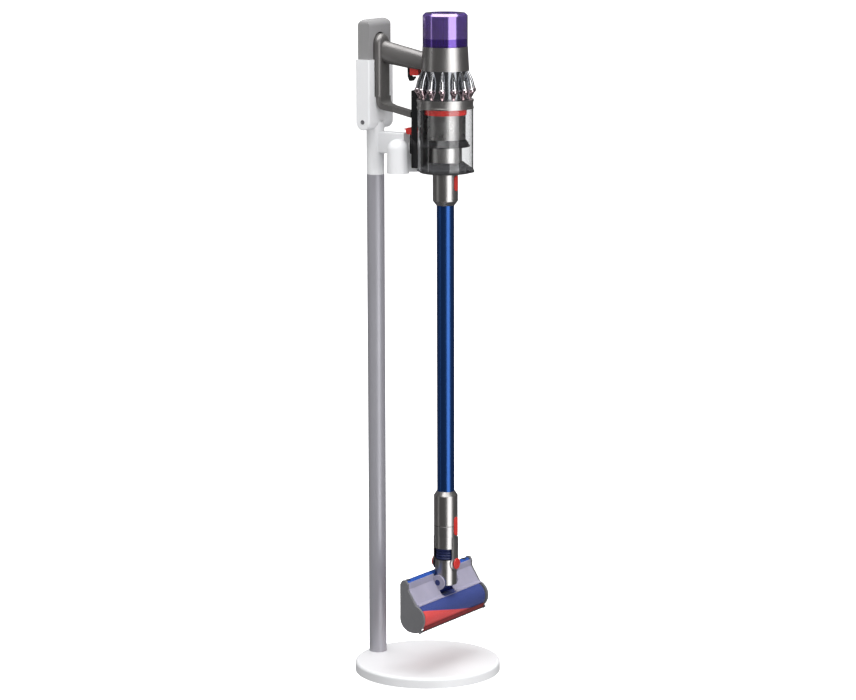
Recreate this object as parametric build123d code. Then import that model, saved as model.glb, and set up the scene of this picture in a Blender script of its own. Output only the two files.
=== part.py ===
from build123d import *
import math
import os

# Cordless stick vacuum hanging on a free-standing charging stand. Millimetres.
# Origin: centre of the stand's round base, on the floor. +Z up, +X from the pole to the vacuum.

os.makedirs("parts", exist_ok=True)

# ---- clearances -----------------------------------------------------------------------------
RUN_GAP = 0.05        # radial, shafts and pins in their bores
SLIDE_GAP = 0.3       # sides of sliding and turning pieces
SEAT_GAP = 0.3        # faces of two bodies that rest on each other
CUT_OVER = 1.0        # how far a cutting tool runs past the face it opens

# ---- stand ----------------------------------------------------------------------------------
BASE_R = 150.0
BASE_H = 22.0
BASE_EDGE = 6.0
BASE_LIP_Z = 1.0      # the rim stays this far off the floor
MAT_T = 3.0
WEIGHT_T = 9.0
RIM_WALL = 6.0
POLE_X = -124.0
POLE_R = 18.1
POLE_WALL = 1.5
POLE_TOP = 1027.5
COLUMN_NECK = 40.0    # length of the column's spigot inside the pole
COLUMN_BORE_R = 11.0
HOLDER_X = -53.0      # centre line of the tool cups
HOLDER_PITCH = 50.0   # distance between the two cups
HOLDER_BOTTOM = 1036.0
CUP_R_TOP = 21.5
CUP_R_BOTTOM = 23.0
CUP_BORE_R = 19.0
CUP_BORE_DEPTH = 34.0
CUP_SHOULDER = 48.0   # height of the cup's straight part
ARM_HALF_W = 11.0
ARM_BOTTOM = 1072.0
ARM_TOP = 1116.0
ARM_END = -48.0

DOCK_BACK = -141.5
DOCK_DEPTH = 32.4
DOCK_W = 89.0
DOCK_BOTTOM = 1120.0
DOCK_TOP = 1263.0
DOCK_FLOOR = 1152.0
DOCK_WALL = 2.6
INSERT_W = 79.0
INSERT_TOP = 1344.0
INSERT_CORNER = 10.0
SCREW_Z = 1136.7
SCREW_HEAD_R = 4.5
SCREW_HEAD_T = 2.5
SCREW_SHANK_R = 2.0
INLET_R = 4.5

# ---- battery and handle ---------------------------------------------------------------------
BATTERY_BACK = -131.5
BATTERY_FRONT = -98.4
BATTERY_W = 44.0
BATTERY_BOTTOM = 1187.5
BATTERY_TOP = 1315.0
BATTERY_ROUND = 10.4
BATTERY_WALL = 2.5
DOCK_CLEAR = 2.5      # round the battery, in the dock
CELL_R = 9.1
CELL_L = 35.0
CELL_COUNT = 6
CELL_PITCH = 18.3
GRIP_HALF_H = 22.8
GRIP_HALF_H_BODY = 19.4
GRIP_HALF_W = 16.0
GRIP_WALL = 2.6
GRIP_Z = 1277.5
GRIP_Z_BODY = 1260.0
STRUT_T = 12.0
STRUT_W = 20.0
STRUT_INSET = 2.0     # the corner is this much narrower than the battery on each side
STRUT_TAPER = 22.0    # length over which the corner narrows to the bar
STRUT_DOCK_GAP = 0.7        # strut corner to the stand's housing
STRUT_Z = 1154.0      # middle of the strut where it meets the rail
STRUT_RISE = 0.208    # height gained per millimetre towards the battery
STRUT_CORNER_R = 20.0
STRUT_INNER_R = 9.0

# ---- vacuum body ----------------------------------------------------------------------------
VAC_X = 45.0
FILTER_TOP = 1361.5
FILTER_R = 45.2
FILTER_WALL = 1.8
HOUSING_TOP = 1294.5
HOUSING_BOTTOM = 1247.0
HOUSING_R_TOP = 45.5
HOUSING_R_BOTTOM = 48.2
HOUSING_WALL = 2.5
COLUMN_R = 26.5       # display column, through the middle of the filter
PLEAT_COUNT = 48
STATOR_R = 27.5
BEARING_R = 8.0
SHAFT_R = 2.5
IMPELLER_R = 24.0
CYCLONE_COUNT = 14
CYCLONE_RING_R = 55.8
CYCLONE_Z = 1207.5
KNUCKLE_R = 6.5
HOOP_TOP_R = 2.6       # each hoop swells from this at the housing
HOOP_MID_R = 4.3      # to this half way down
HOOP_LOW_R = 5.6      # and this at its knuckle
BAND_TOP = 1189.0
BAND_BOTTOM = 1171.0
BAND_R = 57.5
SHROUD_TOP = 1158.5
SHROUD_BOTTOM = 1109.0
SHROUD_R = 41.0
SHROUD_WALL = 1.2
SKIRT_R = 49.7
SKIRT_BOTTOM = 1094.5
INNER_TUBE_R = 33.4
BIN_R = 56.5
BIN_WALL = 2.2
BIN_BOTTOM = 1041.0
DOOR_TOP = 1047.0
DOOR_HOLE_R = 28.0
DUCT_R = 22.0
DUCT_BORE_R = 18.5
DUCT_TOP = 1152.0
DUCT_BOTTOM = 1002.0
RAIL_BACK = -32.0
RAIL_HALF_W = 9.0
RAIL_TOP = 1203.0
RAIL_BOTTOM = 1046.0

# ---- wand -----------------------------------------------------------------------------------
TUBE_R = 17.8
TUBE_WALL = 1.5
TUBE_TOP = 998.0
TUBE_BOTTOM = 360.0
TOP_COLLAR_R = 25.6
TOP_COLLAR_TOP = 1037.5
TOP_COLLAR_BOTTOM = 975.0
END_COLLAR_R = 24.6
END_COLLAR_TOP = 385.5
END_COLLAR_BOTTOM = 291.6
COLLAR_TAPER = 9.0
BUTTON_PROUD = 1.4
BUTTON_T = 2.4
WAND_BUTTON_LOW = 1005.0
WAND_BUTTON_HIGH = 1036.0
HEAD_BUTTON_LOW = 294.0
HEAD_BUTTON_HIGH = 333.0
BUTTON_HALF_W = 6.5

# ---- neck and cleaner head ------------------------------------------------------------------
SPIGOT_R = 21.0
SPIGOT_BORE_R = 17.5
SPIGOT_TOP = 328.5
NECK_R = 23.6
NECK_BOTTOM = 266.3
YOKE_INNER_X = 20.8
YOKE_OUTER_X = 25.8
YOKE_HALF_W = 11.0
YOKE_TIP_R = 14.8
STEER_Z = 234.5
CAP_R = 11.5
CAP_T = 2.4
PIN_R = 5.95
LOWER_NECK_R = 22.6
LOWER_NECK_BORE_R = 17.1
LOWER_NECK_TOP = 242.6
LOWER_NECK_BOTTOM = 190.0
HOSE_R = 20.2
HOSE_RIB = 1.2
HOSE_RIBS = 4
PITCH_X = 42.0
PITCH_Z = 196.0
ELBOW_R = 16.0
ELBOW_HALF_W = 22.0
ELBOW_BORE_R = 12.5
TRUNNION_R = 6.0
CHEEK_T = 4.5
CHEEK_GAP = 1.0

HEAD_HALF_W = 125.0
CAP_WALL = 6.0
ROLLER_X = 42.5
ROLLER_Z = 141.0
ROLLER_R = 27.5
NAP_T = 3.5
CORE_R = ROLLER_R - NAP_T
CORE_WALL = 3.0
CAP_ROUND_R = 28.8
SOLE_X = 14.0
SOLE_T = 2.5
HOOD_T = 2.5
NOTCH_HALF_W = 25.0
NOTCH_R = 28.5
ROLLER_MOTOR_R = 16.0
STUB_R = 4.0
WHEEL_R = 6.0
WHEEL_W = 7.0
WHEEL_X = 19.6
WHEEL_Z = 211.5
WHEEL_Y = 106.0
WHEEL_CLEAR = 0.5
AXLE_R = 1.5

UP = (Align.CENTER, Align.CENTER, Align.MIN)


# ---- helpers --------------------------------------------------------------------------------
def rod(radius, low, high, x=0.0, y=0.0):
    """Upright solid cylinder from one height to another."""
    return Pos(x, y, low) * Cylinder(radius, high - low, align=UP)


def tube(radius, bore, low, high, x=0.0, y=0.0):
    """Upright tube from one height to another."""
    cutter = rod(bore, low - CUT_OVER, high + CUT_OVER, x, y)
    return rod(radius, low, high, x, y) - cutter


def rod_y(radius, low, high, x, z):
    """Solid cylinder along Y."""
    return Pos(x, low, z) * Rot(-90, 0, 0) * Cylinder(radius, high - low, align=UP)


def rod_x(radius, low, high, y, z):
    """Solid cylinder along X."""
    return Pos(low, y, z) * Rot(0, 90, 0) * Cylinder(radius, high - low, align=UP)


def block(x_low, x_high, y_low, y_high, z_low, z_high):
    """Box given by its faces."""
    middle = Pos((x_low + x_high) / 2, (y_low + y_high) / 2, (z_low + z_high) / 2)
    return middle * Box(x_high - x_low, y_high - y_low, z_high - z_low)


def turned(outline, x=0.0, y=0.0):
    """Solid of revolution about an upright axis, from (radius, height) points."""
    face = Plane.XZ * make_face(Polyline(*outline, close=True))
    return Pos(x, y, 0) * revolve(face, Axis.Z)


def side_plate(outline, y_low, y_high):
    """Prism along Y from an outline in the XZ plane."""
    face = Plane.XZ * make_face(Polyline(*outline, close=True))
    return Pos(0, y_high, 0) * extrude(face, y_high - y_low, dir=(0, -1, 0))


def save(shape, name):
    """One STEP file per node."""
    export_step(shape, "parts/" + name + ".step")


# ---- stand ----------------------------------------------------------------------------------
def base_plate():
    """White round cover, open below, with a hole for the pole."""
    plate = rod(BASE_R, BASE_LIP_Z, BASE_H)
    plate = fillet(plate.edges().group_by(Axis.Z)[-1], BASE_EDGE)
    pocket_top = MAT_T + WEIGHT_T
    plate -= rod(BASE_R - RIM_WALL + SLIDE_GAP, 0, pocket_top)
    return plate - rod(POLE_R, 0, BASE_H + CUT_OVER, POLE_X)


def base_weight():
    """Steel disc that keeps the stand upright."""
    return rod(BASE_R - RIM_WALL, MAT_T, MAT_T + WEIGHT_T)


def base_mat():
    """Rubber mat under the weight, the only thing that touches the floor."""
    return rod(BASE_R - RIM_WALL, 0, MAT_T)


def pole():
    return tube(POLE_R, POLE_R - POLE_WALL, MAT_T + WEIGHT_T, POLE_TOP, POLE_X)


def dock_envelope():
    """Outer form of the dock: a slab with a fully round lower end."""
    radius = DOCK_DEPTH / 2
    middle_x = DOCK_BACK + radius
    slab = block(DOCK_BACK, DOCK_BACK + DOCK_DEPTH, -DOCK_W / 2, DOCK_W / 2,
                 DOCK_BOTTOM + radius, DOCK_TOP)
    return slab + rod_y(radius, -DOCK_W / 2, DOCK_W / 2, middle_x, DOCK_BOTTOM + radius)


def column_key():
    """Flat tongue on top of the column, inside the dock."""
    middle_x = DOCK_BACK + DOCK_DEPTH / 2
    half_x = DOCK_DEPTH / 2 - DOCK_WALL - 1.6
    return block(middle_x - half_x, middle_x + half_x, -POLE_R, POLE_R, DOCK_BOTTOM - CUT_OVER, DOCK_FLOOR)


def column():
    """White post on top of the pole, with a spigot below and a key for the dock above."""
    spigot = rod(POLE_R - POLE_WALL, POLE_TOP - COLUMN_NECK, POLE_TOP, POLE_X)
    post = rod(POLE_R, POLE_TOP, DOCK_BOTTOM + DOCK_DEPTH / 2, POLE_X)
    shape = spigot + (post - dock_envelope()) + column_key()
    shape -= rod(COLUMN_BORE_R, 0, ARM_TOP, POLE_X)
    for side in (-1, 1):
        shape -= screw(side)
    return shape


def tool_holder():
    """Arm with two downward cups that hold the spare tools."""
    shape = block(POLE_X, ARM_END, -ARM_HALF_W, ARM_HALF_W, ARM_BOTTOM, ARM_TOP)
    shape = fillet(shape.edges().filter_by(Axis.X), 3)
    shoulder = HOLDER_BOTTOM + CUP_SHOULDER
    for side in (-1, 1):
        y = side * HOLDER_PITCH / 2
        skirt = Pos(HOLDER_X, y, HOLDER_BOTTOM) * Cone(CUP_R_BOTTOM, CUP_R_TOP, CUP_SHOULDER, align=UP)
        dome = Pos(HOLDER_X, y, shoulder) * Sphere(CUP_R_TOP)
        shape += skirt + dome
    for side in (-1, 1):
        y = side * HOLDER_PITCH / 2
        shape -= rod(CUP_BORE_R, HOLDER_BOTTOM - CUT_OVER, HOLDER_BOTTOM + CUP_BORE_DEPTH, HOLDER_X, y)
    return shape - rod(POLE_R, ARM_BOTTOM - CUT_OVER, ARM_TOP + CUT_OVER, POLE_X)


def arch(width, bottom, top, x_low, x_high):
    """Upright slab with a fully round top, seen from the front."""
    radius = width / 2
    slab = block(x_low, x_high, -radius, radius, bottom, top - radius)
    return slab + rod_x(radius, x_low, x_high, 0, top - radius)


def battery_space():
    """Room for the battery in the dock, open to the front."""
    width = BATTERY_W + 2 * DOCK_CLEAR
    front = DOCK_BACK + DOCK_DEPTH + CUT_OVER
    low = BATTERY_BOTTOM - SEAT_GAP
    return arch(width, low, BATTERY_TOP + DOCK_CLEAR, BATTERY_BACK - SEAT_GAP, front)


def insert_pocket():
    """Inner room of the dock, which the insert fills."""
    return block(DOCK_BACK + DOCK_WALL, DOCK_BACK + DOCK_DEPTH - DOCK_WALL,
                 -INSERT_W / 2, INSERT_W / 2, DOCK_FLOOR, DOCK_TOP + CUT_OVER)


def dock_housing():
    """White outer dock with round lower end and a front slot for the battery."""
    shape = dock_envelope()
    front = DOCK_BACK + DOCK_DEPTH
    uprights = shape.edges().filter_by(Axis.Z).filter_by(lambda edge: edge.center().X > front - 0.1)
    shape = fillet(uprights, 2.4)
    shape -= insert_pocket()
    shape -= battery_space()
    width = BATTERY_W + 2 * DOCK_CLEAR
    shape -= block(front - DOCK_WALL - CUT_OVER, front + CUT_OVER, -width / 2, width / 2,
                   BATTERY_BOTTOM - SEAT_GAP, DOCK_TOP + CUT_OVER)
    shape -= column_key()
    for side in (-1, 1):
        shape -= screw(side)
    middle_z = (DOCK_FLOOR + DOCK_TOP) / 2
    return shape - rod_x(INLET_R, DOCK_BACK - CUT_OVER, DOCK_BACK + DOCK_WALL, 0, middle_z)


def dock_insert():
    """Grey inner dock with a round top and the battery's recess."""
    pocket = DOCK_DEPTH - 2 * DOCK_WALL
    back = DOCK_BACK + DOCK_WALL
    radius = pocket / 2
    slab = block(back, back + pocket, -INSERT_W / 2, INSERT_W / 2, DOCK_FLOOR, INSERT_TOP - radius)
    shape = slab + rod_y(radius, -INSERT_W / 2, INSERT_W / 2, back + radius, INSERT_TOP - radius)
    plan = Plane.YZ * make_face(Polyline(
        (-INSERT_W / 2, DOCK_FLOOR), (INSERT_W / 2, DOCK_FLOOR), (INSERT_W / 2, INSERT_TOP),
        (-INSERT_W / 2, INSERT_TOP), close=True))
    frame = Pos(back - CUT_OVER, 0, 0) * extrude(plan, pocket + 2 * CUT_OVER, dir=(1, 0, 0))
    top_edges = frame.edges().filter_by(Axis.X).group_by(Axis.Z)[-1]
    shape &= fillet(top_edges, INSERT_CORNER)
    return shape - battery_space()


def screw(side):
    """Side screw that holds the dock on the column."""
    face = DOCK_W / 2
    reach = face - POLE_R + 8
    x = DOCK_BACK + DOCK_DEPTH / 2
    head = rod_y(SCREW_HEAD_R, face - SCREW_HEAD_T, face - 0.4, x, SCREW_Z)
    shank = rod_y(SCREW_SHANK_R, face - reach, face - SCREW_HEAD_T, x, SCREW_Z)
    one = head + shank
    return one if side > 0 else mirror(one, Plane.XZ)


def housing_screws():
    return Compound(children=[screw(-1), screw(1)])


def charge_inlet():
    """Round low-voltage socket on the back of the dock."""
    middle_z = (DOCK_FLOOR + DOCK_TOP) / 2
    shape = rod_x(INLET_R, DOCK_BACK - 1.0, DOCK_BACK + DOCK_WALL, 0, middle_z)
    shape -= rod_x(INLET_R - 1.5, DOCK_BACK - 2.0, DOCK_BACK + DOCK_WALL - 1.0, 0, middle_z)
    return shape + rod_x(1.0, DOCK_BACK, DOCK_BACK + DOCK_WALL, 0, middle_z)


# ---- battery and handle ---------------------------------------------------------------------
def battery_form():
    """Battery block with a round top and rounded front edges."""
    low = BATTERY_BOTTOM
    shape = arch(BATTERY_W, low, BATTERY_TOP, BATTERY_BACK, BATTERY_FRONT)
    rim = shape.faces().sort_by(Axis.X)[-1].edges()
    return fillet(rim.filter_by(lambda edge: edge.center().Z > low + 1), BATTERY_ROUND)


def cell(index):
    """One battery cell, lying across the machine."""
    z = BATTERY_BOTTOM + BATTERY_WALL + CELL_R + 0.3 + index * CELL_PITCH
    x = (BATTERY_BACK + BATTERY_FRONT) / 2 - 2.0
    return rod_y(CELL_R, -CELL_L / 2, CELL_L / 2, x, z)


def battery_cells():
    return Compound(children=[cell(index) for index in range(CELL_COUNT)])


def battery_case():
    """Battery shell with a chamber just large enough for the cells."""
    shape = battery_form()
    for index in range(CELL_COUNT):
        shape -= cell(index)
    return shape


def body_cone(gap=0.0):
    """Outer form of the motor housing."""
    height = HOUSING_TOP - HOUSING_BOTTOM
    return Pos(VAC_X, 0, HOUSING_BOTTOM) * Cone(HOUSING_R_BOTTOM + gap, HOUSING_R_TOP + gap, height, align=UP)


def grip_form(shrink):
    """Oval bar from the battery to the motor housing."""
    start = Plane(origin=(BATTERY_FRONT, 0, GRIP_Z), x_dir=(0, 1, 0), z_dir=(1, 0, 0))
    end = Plane(origin=(VAC_X - HOUSING_R_TOP + 4, 0, GRIP_Z_BODY), x_dir=(0, 1, 0), z_dir=(1, 0, 0))
    first = start * Ellipse(GRIP_HALF_W - shrink, GRIP_HALF_H - shrink)
    last = end * Ellipse(GRIP_HALF_W - shrink - 0.5, GRIP_HALF_H_BODY - shrink)
    return loft([first, last])


def trigger_slot():
    return block(-36.2, -15.3, -6.3, 6.3, 1230, 1262)


def grip():
    """Hollow grip, cut to the motor housing and clear of the hoops below it."""
    shape = grip_form(0) - grip_form(GRIP_WALL) - body_cone() - trigger_slot()
    ring_r = CYCLONE_RING_R + KNUCKLE_R
    return shape - rod(ring_r, CYCLONE_Z, HOUSING_BOTTOM, VAC_X)


def grip_half(side):
    """The grip is moulded in two halves that meet on the middle plane."""
    reach = GRIP_HALF_W + 5
    low, high = (-reach, 0) if side < 0 else (0, reach)
    return grip() & block(BATTERY_FRONT - 1, VAC_X, low, high, 1200, 1340)


def trigger():
    """Red trigger, pressed up into the grip."""
    shape = block(-35.9, -15.6, -6.0, 6.0, 1233.5, 1250)
    return fillet(shape.edges().filter_by(Axis.Y).group_by(Axis.Z)[0], 3)


def trigger_guard():
    """Black hook in front of the trigger, under the grip."""
    outline = [(-42.3, 1250), (-41.8, 1230), (-37.5, 1221.8), (-33, 1221.8), (-27, 1228.5),
               (-29, 1231), (-33, 1229.5), (-36.8, 1232), (-36.8, 1250)]
    shape = side_plate(outline, -5, 5)
    return shape - grip_form(0)


def strut_height(x):
    """Height of the strut's middle line."""
    return STRUT_Z + STRUT_RISE * (RAIL_BACK - x)


def strut_plan():
    """The strut seen from above: as wide as the battery at the corner, narrow at the rail."""
    wide = BATTERY_W / 2 - STRUT_INSET
    narrow = STRUT_W / 2
    back = DOCK_BACK + DOCK_DEPTH
    near = [
        (back, -wide),
        (BATTERY_FRONT - STRUT_INSET, -wide),
        (BATTERY_FRONT + STRUT_TAPER, -narrow),
        (RAIL_BACK, -narrow),
    ]
    far = [(x, -y) for x, y in reversed(near)]
    face = make_face(Polyline(*near, *far, close=True))
    return Pos(0, 0, STRUT_Z - BATTERY_W) * extrude(face, 2 * BATTERY_W, dir=(0, 0, 1))


def handle_strut():
    """Lower bar of the handle loop, from the rail round the corner to the battery."""
    outer_x = DOCK_BACK + DOCK_DEPTH + STRUT_DOCK_GAP
    half = STRUT_T / 2
    outline = [
        (RAIL_BACK, strut_height(RAIL_BACK) - half),
        (outer_x, strut_height(outer_x) - half),
        (outer_x, BATTERY_BOTTOM),
        (BATTERY_FRONT, BATTERY_BOTTOM),
        (BATTERY_FRONT, strut_height(BATTERY_FRONT) + half),
        (RAIL_BACK, strut_height(RAIL_BACK) + half),
    ]
    shape = side_plate(outline, -BATTERY_W / 2, BATTERY_W / 2)
    across = shape.edges().filter_by(Axis.Y)
    lower = across.filter_by(lambda edge: edge.center().Z < BATTERY_BOTTOM - CUT_OVER)
    outer = lower.filter_by(lambda edge: edge.center().X < outer_x + CUT_OVER)
    shape = fillet(outer, STRUT_CORNER_R)
    across = shape.edges().filter_by(Axis.Y)
    lower = across.filter_by(lambda edge: edge.center().Z < BATTERY_BOTTOM - CUT_OVER)
    inner = lower.filter_by(lambda edge: abs(edge.center().X - BATTERY_FRONT) < CUT_OVER)
    shape = fillet(inner, STRUT_INNER_R)
    return shape & strut_plan()


# ---- vacuum body ----------------------------------------------------------------------------
def motor_housing():
    """Silver cone with the motor's inner bucket."""
    plate_z = HOUSING_TOP - HOUSING_WALL
    shell = turned([
        (STATOR_R, HOUSING_TOP), (HOUSING_R_TOP, HOUSING_TOP), (HOUSING_R_BOTTOM, HOUSING_BOTTOM),
        (HOUSING_R_BOTTOM - HOUSING_WALL, HOUSING_BOTTOM), (HOUSING_R_TOP - HOUSING_WALL, plate_z),
        (STATOR_R + 2, plate_z), (STATOR_R + 2, HOUSING_BOTTOM + 9), (STATOR_R, HOUSING_BOTTOM + 9)],
        VAC_X)
    return shell + tube(STATOR_R, BEARING_R + 4, plate_z, HOUSING_TOP, VAC_X)


def stator():
    """Motor windings and core, in the bucket."""
    return tube(STATOR_R, BEARING_R, HOUSING_BOTTOM + 10, HOUSING_TOP - HOUSING_WALL, VAC_X)


def motor_bearings():
    low = tube(BEARING_R, SHAFT_R + RUN_GAP, HOUSING_BOTTOM + 10.5, HOUSING_BOTTOM + 15.5, VAC_X)
    high = tube(BEARING_R, SHAFT_R + RUN_GAP, HOUSING_TOP - 12, HOUSING_TOP - 7, VAC_X)
    return Compound(children=[low, high])


def motor_shaft():
    """Motor shaft with its rotor magnet."""
    shaft = rod(SHAFT_R, HOUSING_BOTTOM + 0.5, HOUSING_TOP - 6, VAC_X)
    return shaft + rod(BEARING_R - 1.5, HOUSING_BOTTOM + 16, HOUSING_TOP - 12.5, VAC_X)


def impeller():
    """Fan wheel under the motor."""
    low = HOUSING_BOTTOM + 0.8
    shape = rod(IMPELLER_R, low, low + 1.6, VAC_X) + rod(6, low, low + 8.5, VAC_X)
    for index in range(11):
        blade = block(4, IMPELLER_R - 0.4, -0.6, 0.6, low, low + 6.5)
        shape += Pos(VAC_X, 0, 0) * Rot(0, 0, index * 360 / 11) * blade
    return shape - rod(SHAFT_R, low - 1, low + 10, VAC_X)


def display_column():
    """Centre column through the filter, with the seat of the display window."""
    inner = COLUMN_R - 2.5
    shape = tube(COLUMN_R, inner, HOUSING_TOP, FILTER_TOP - 3, VAC_X)
    return shape + tube(inner, inner - 4, FILTER_TOP - 12, FILTER_TOP - 8, VAC_X)


def display_window():
    """Round display glass with a hole for the button."""
    glass = rod(COLUMN_R - 2.5, FILTER_TOP - 8, FILTER_TOP - 5, VAC_X)
    return glass - rod(5, FILTER_TOP - 10, FILTER_TOP, VAC_X - 13)


def mode_button():
    """Button beside the display."""
    return rod(4.7, FILTER_TOP - 9.5, FILTER_TOP - 3.2, VAC_X - 13)


def filter_shell():
    """Purple filter cover that turns on the display column."""
    low = HOUSING_TOP + SEAT_GAP
    inner = COLUMN_R + 0.7
    shape = turned([
        (inner, low), (FILTER_R, low), (FILTER_R, FILTER_TOP - 5), (FILTER_R - 5, FILTER_TOP),
        (inner, FILTER_TOP)], VAC_X)
    room = tube(FILTER_R - FILTER_WALL, inner + FILTER_WALL, low + 2.5, FILTER_TOP - 7, VAC_X)
    return shape - room


def filter_pleats():
    """Pleated paper ring."""
    low = HOUSING_TOP + SEAT_GAP + 2.5
    inner = COLUMN_R + 0.7 + FILTER_WALL
    points = []
    for index in range(2 * PLEAT_COUNT):
        radius = FILTER_R - FILTER_WALL - 1 if index % 2 == 0 else FILTER_R - FILTER_WALL - 6
        angle = math.pi * index / PLEAT_COUNT
        points.append((radius * math.cos(angle), radius * math.sin(angle)))
    star = make_face(Polyline(*points, close=True))
    shape = Pos(VAC_X, 0, low) * extrude(star, FILTER_TOP - 7 - low, dir=(0, 0, 1))
    return shape - rod(inner, low - 1, FILTER_TOP, VAC_X)


def cyclone_outline():
    """(radius, height) points of the dark body behind the cyclones."""
    return [(26, HOUSING_BOTTOM), (HOUSING_R_BOTTOM - HOUSING_WALL, HOUSING_BOTTOM),
            (45.0, 1224), (48.5, CYCLONE_Z), (49.5, 1200), (48, BAND_TOP),
            (45, BAND_TOP), (45.5, 1201), (41.5, 1222), (41, HOUSING_BOTTOM - 2.5),
            (26, HOUSING_BOTTOM - 2.5)]


def cyclone_body():
    return turned(cyclone_outline(), VAC_X)


def cyclone_core():
    """Everything inside the cyclone body's outer face, as a cutter."""
    outer = cyclone_outline()[1:6]
    return turned([(0, HOUSING_BOTTOM)] + outer + [(0, BAND_TOP)], VAC_X)


def cyclone_cone():
    """One cyclone: a round knuckle on a cone that points in and down."""
    knuckle = Pos(VAC_X + CYCLONE_RING_R, 0, CYCLONE_Z) * Sphere(KNUCKLE_R)
    tip = Plane(origin=(VAC_X + CYCLONE_RING_R, 0, CYCLONE_Z), x_dir=(0, 1, 0), z_dir=(-0.36, 0, -1))
    cone = tip * Cone(KNUCKLE_R - 0.9, 3.0, 17.0, align=UP)
    return knuckle + cone - cyclone_core() - rod(BAND_R + 1, BAND_BOTTOM, BAND_TOP, VAC_X)


def hoop_length(low, high):
    """Tapered length of a hoop with a round end; low and high are (ring radius, height, radius)."""
    start = Vector(VAC_X + low[0], 0, low[1])
    way = Vector(VAC_X + high[0], 0, high[1]) - start
    plane = Plane(origin=start, x_dir=(0, 1, 0), z_dir=way)
    taper = plane * Cone(low[2], high[2], way.length, align=UP)
    return taper + Pos(VAC_X + high[0], 0, high[1]) * Sphere(high[2])


def cyclone_hoop():
    """One inlet finger, swelling from the housing down to its cyclone's knuckle."""
    low = (CYCLONE_RING_R, CYCLONE_Z, HOOP_LOW_R)
    middle = (CYCLONE_RING_R - 4.0, (CYCLONE_Z + HOUSING_BOTTOM) / 2, HOOP_MID_R)
    high = (HOUSING_R_BOTTOM - HOOP_TOP_R, HOUSING_BOTTOM - HOOP_TOP_R - SEAT_GAP, HOOP_TOP_R)
    hoop = hoop_length(low, middle) + hoop_length(middle, high)
    knuckle = Pos(VAC_X + CYCLONE_RING_R, 0, CYCLONE_Z) * Sphere(KNUCKLE_R)
    return hoop - cyclone_core() - knuckle


def around(piece):
    """Copies of a piece all round the vacuum's axis, half a step off the rail."""
    centre = Pos(VAC_X, 0, 0)
    step = 360 / CYCLONE_COUNT
    ring = []
    for index in range(CYCLONE_COUNT):
        turn = centre * Rot(0, 0, (index + 0.5) * step) * Pos(-VAC_X, 0, 0)
        ring.append(turn * piece)
    return Compound(children=ring)


def cyclone_band():
    """Silver band under the cyclones, with a floor that carries the shroud."""
    return turned([
        (34, BAND_BOTTOM), (BAND_R, BAND_BOTTOM), (BAND_R, BAND_BOTTOM + 3), (BAND_R - 1.2, BAND_BOTTOM + 3.5),
        (BAND_R - 1.2, BAND_TOP - 4.5), (BAND_R, BAND_TOP - 4), (BAND_R, BAND_TOP),
        (44, BAND_TOP), (44, BAND_BOTTOM + 3), (34, BAND_BOTTOM + 3)], VAC_X)


def shroud_collar():
    """Red ring on top of the shroud."""
    return tube(SHROUD_R + 2, SHROUD_R - 2, SHROUD_TOP, BAND_BOTTOM, VAC_X)


def outlet_hole(gap):
    """Way of the air out of the inlet duct, through the shroud on the far side."""
    return rod_y(13 + gap, 0, SHROUD_R + 5, VAC_X, 1134)


def shroud():
    """Metal mesh cylinder."""
    shape = tube(SHROUD_R, SHROUD_R - SHROUD_WALL, SHROUD_BOTTOM, SHROUD_TOP, VAC_X)
    return shape - outlet_hole(0)


def shroud_skirt():
    """Black flared skirt under the shroud."""
    return turned([
        (INNER_TUBE_R, SKIRT_BOTTOM), (SKIRT_R, SKIRT_BOTTOM), (SKIRT_R, SKIRT_BOTTOM + 1.5),
        (SHROUD_R, SHROUD_BOTTOM), (INNER_TUBE_R, SHROUD_BOTTOM)], VAC_X)


def inlet_duct():
    """Dirt inlet: nozzle for the wand, duct up the middle of the bin and the lower tube round it."""
    shape = tube(DUCT_R, DUCT_BORE_R, DUCT_BOTTOM, DUCT_TOP, VAC_X)
    shape += rod(DUCT_R, DUCT_TOP - 2, DUCT_TOP, VAC_X)
    shape += tube(INNER_TUBE_R, INNER_TUBE_R - 2, DOOR_TOP + 1.5, SHROUD_BOTTOM, VAC_X)
    shape += tube(INNER_TUBE_R, DUCT_R - 0.5, SHROUD_BOTTOM - 4, SHROUD_BOTTOM, VAC_X)
    spout = outlet_hole(0) & rod(SHROUD_R + 1, 1100, DUCT_TOP, VAC_X)
    shape += spout - rod(DUCT_BORE_R, 1100, DUCT_TOP, VAC_X)
    shape -= rod_y(11, 0, SHROUD_R + 8, VAC_X, 1134)
    return shape


def release_groove():
    return block(RAIL_BACK - 1, RAIL_BACK + 4.2, -2.3, 2.3, 1060, 1126)


def bin_rail():
    """Black upright rail that the bin slides on and the strut is fixed to."""
    inner = VAC_X - BAND_R + 6
    shape = block(RAIL_BACK, inner, -RAIL_HALF_W, RAIL_HALF_W, RAIL_BOTTOM, RAIL_TOP)
    shape = fillet(shape.edges().filter_by(Axis.Z).group_by(Axis.X)[0], 3)
    shape -= rod(BAND_R, BAND_BOTTOM, BAND_TOP, VAC_X)
    shape -= rod(BAND_R + 0.8, 0, BAND_BOTTOM, VAC_X)
    shape -= rod(CYCLONE_RING_R + KNUCKLE_R + 0.8, BAND_TOP, RAIL_TOP + 1, VAC_X)
    return shape - release_groove()


def bin_release():
    """Lever that frees the bin: a fin, a round knob and a thin tip."""
    fin = block(-38, RAIL_BACK - SLIDE_GAP, -4, 4, 1074, 1115)
    fin = fillet(fin.edges().filter_by(Axis.Y).group_by(Axis.X)[0], 2.5)
    knob = rod_y(7, -5, 5, -40, 1120.5)
    tip = side_plate([(-52, 1123), (-52, 1124.6), (-40, 1126), (-40, 1120)], -3, 3)
    tongue = block(RAIL_BACK - 1, RAIL_BACK + 3.8, -2, 2, 1074, 1113)
    return fin + knob + tip + tongue


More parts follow.
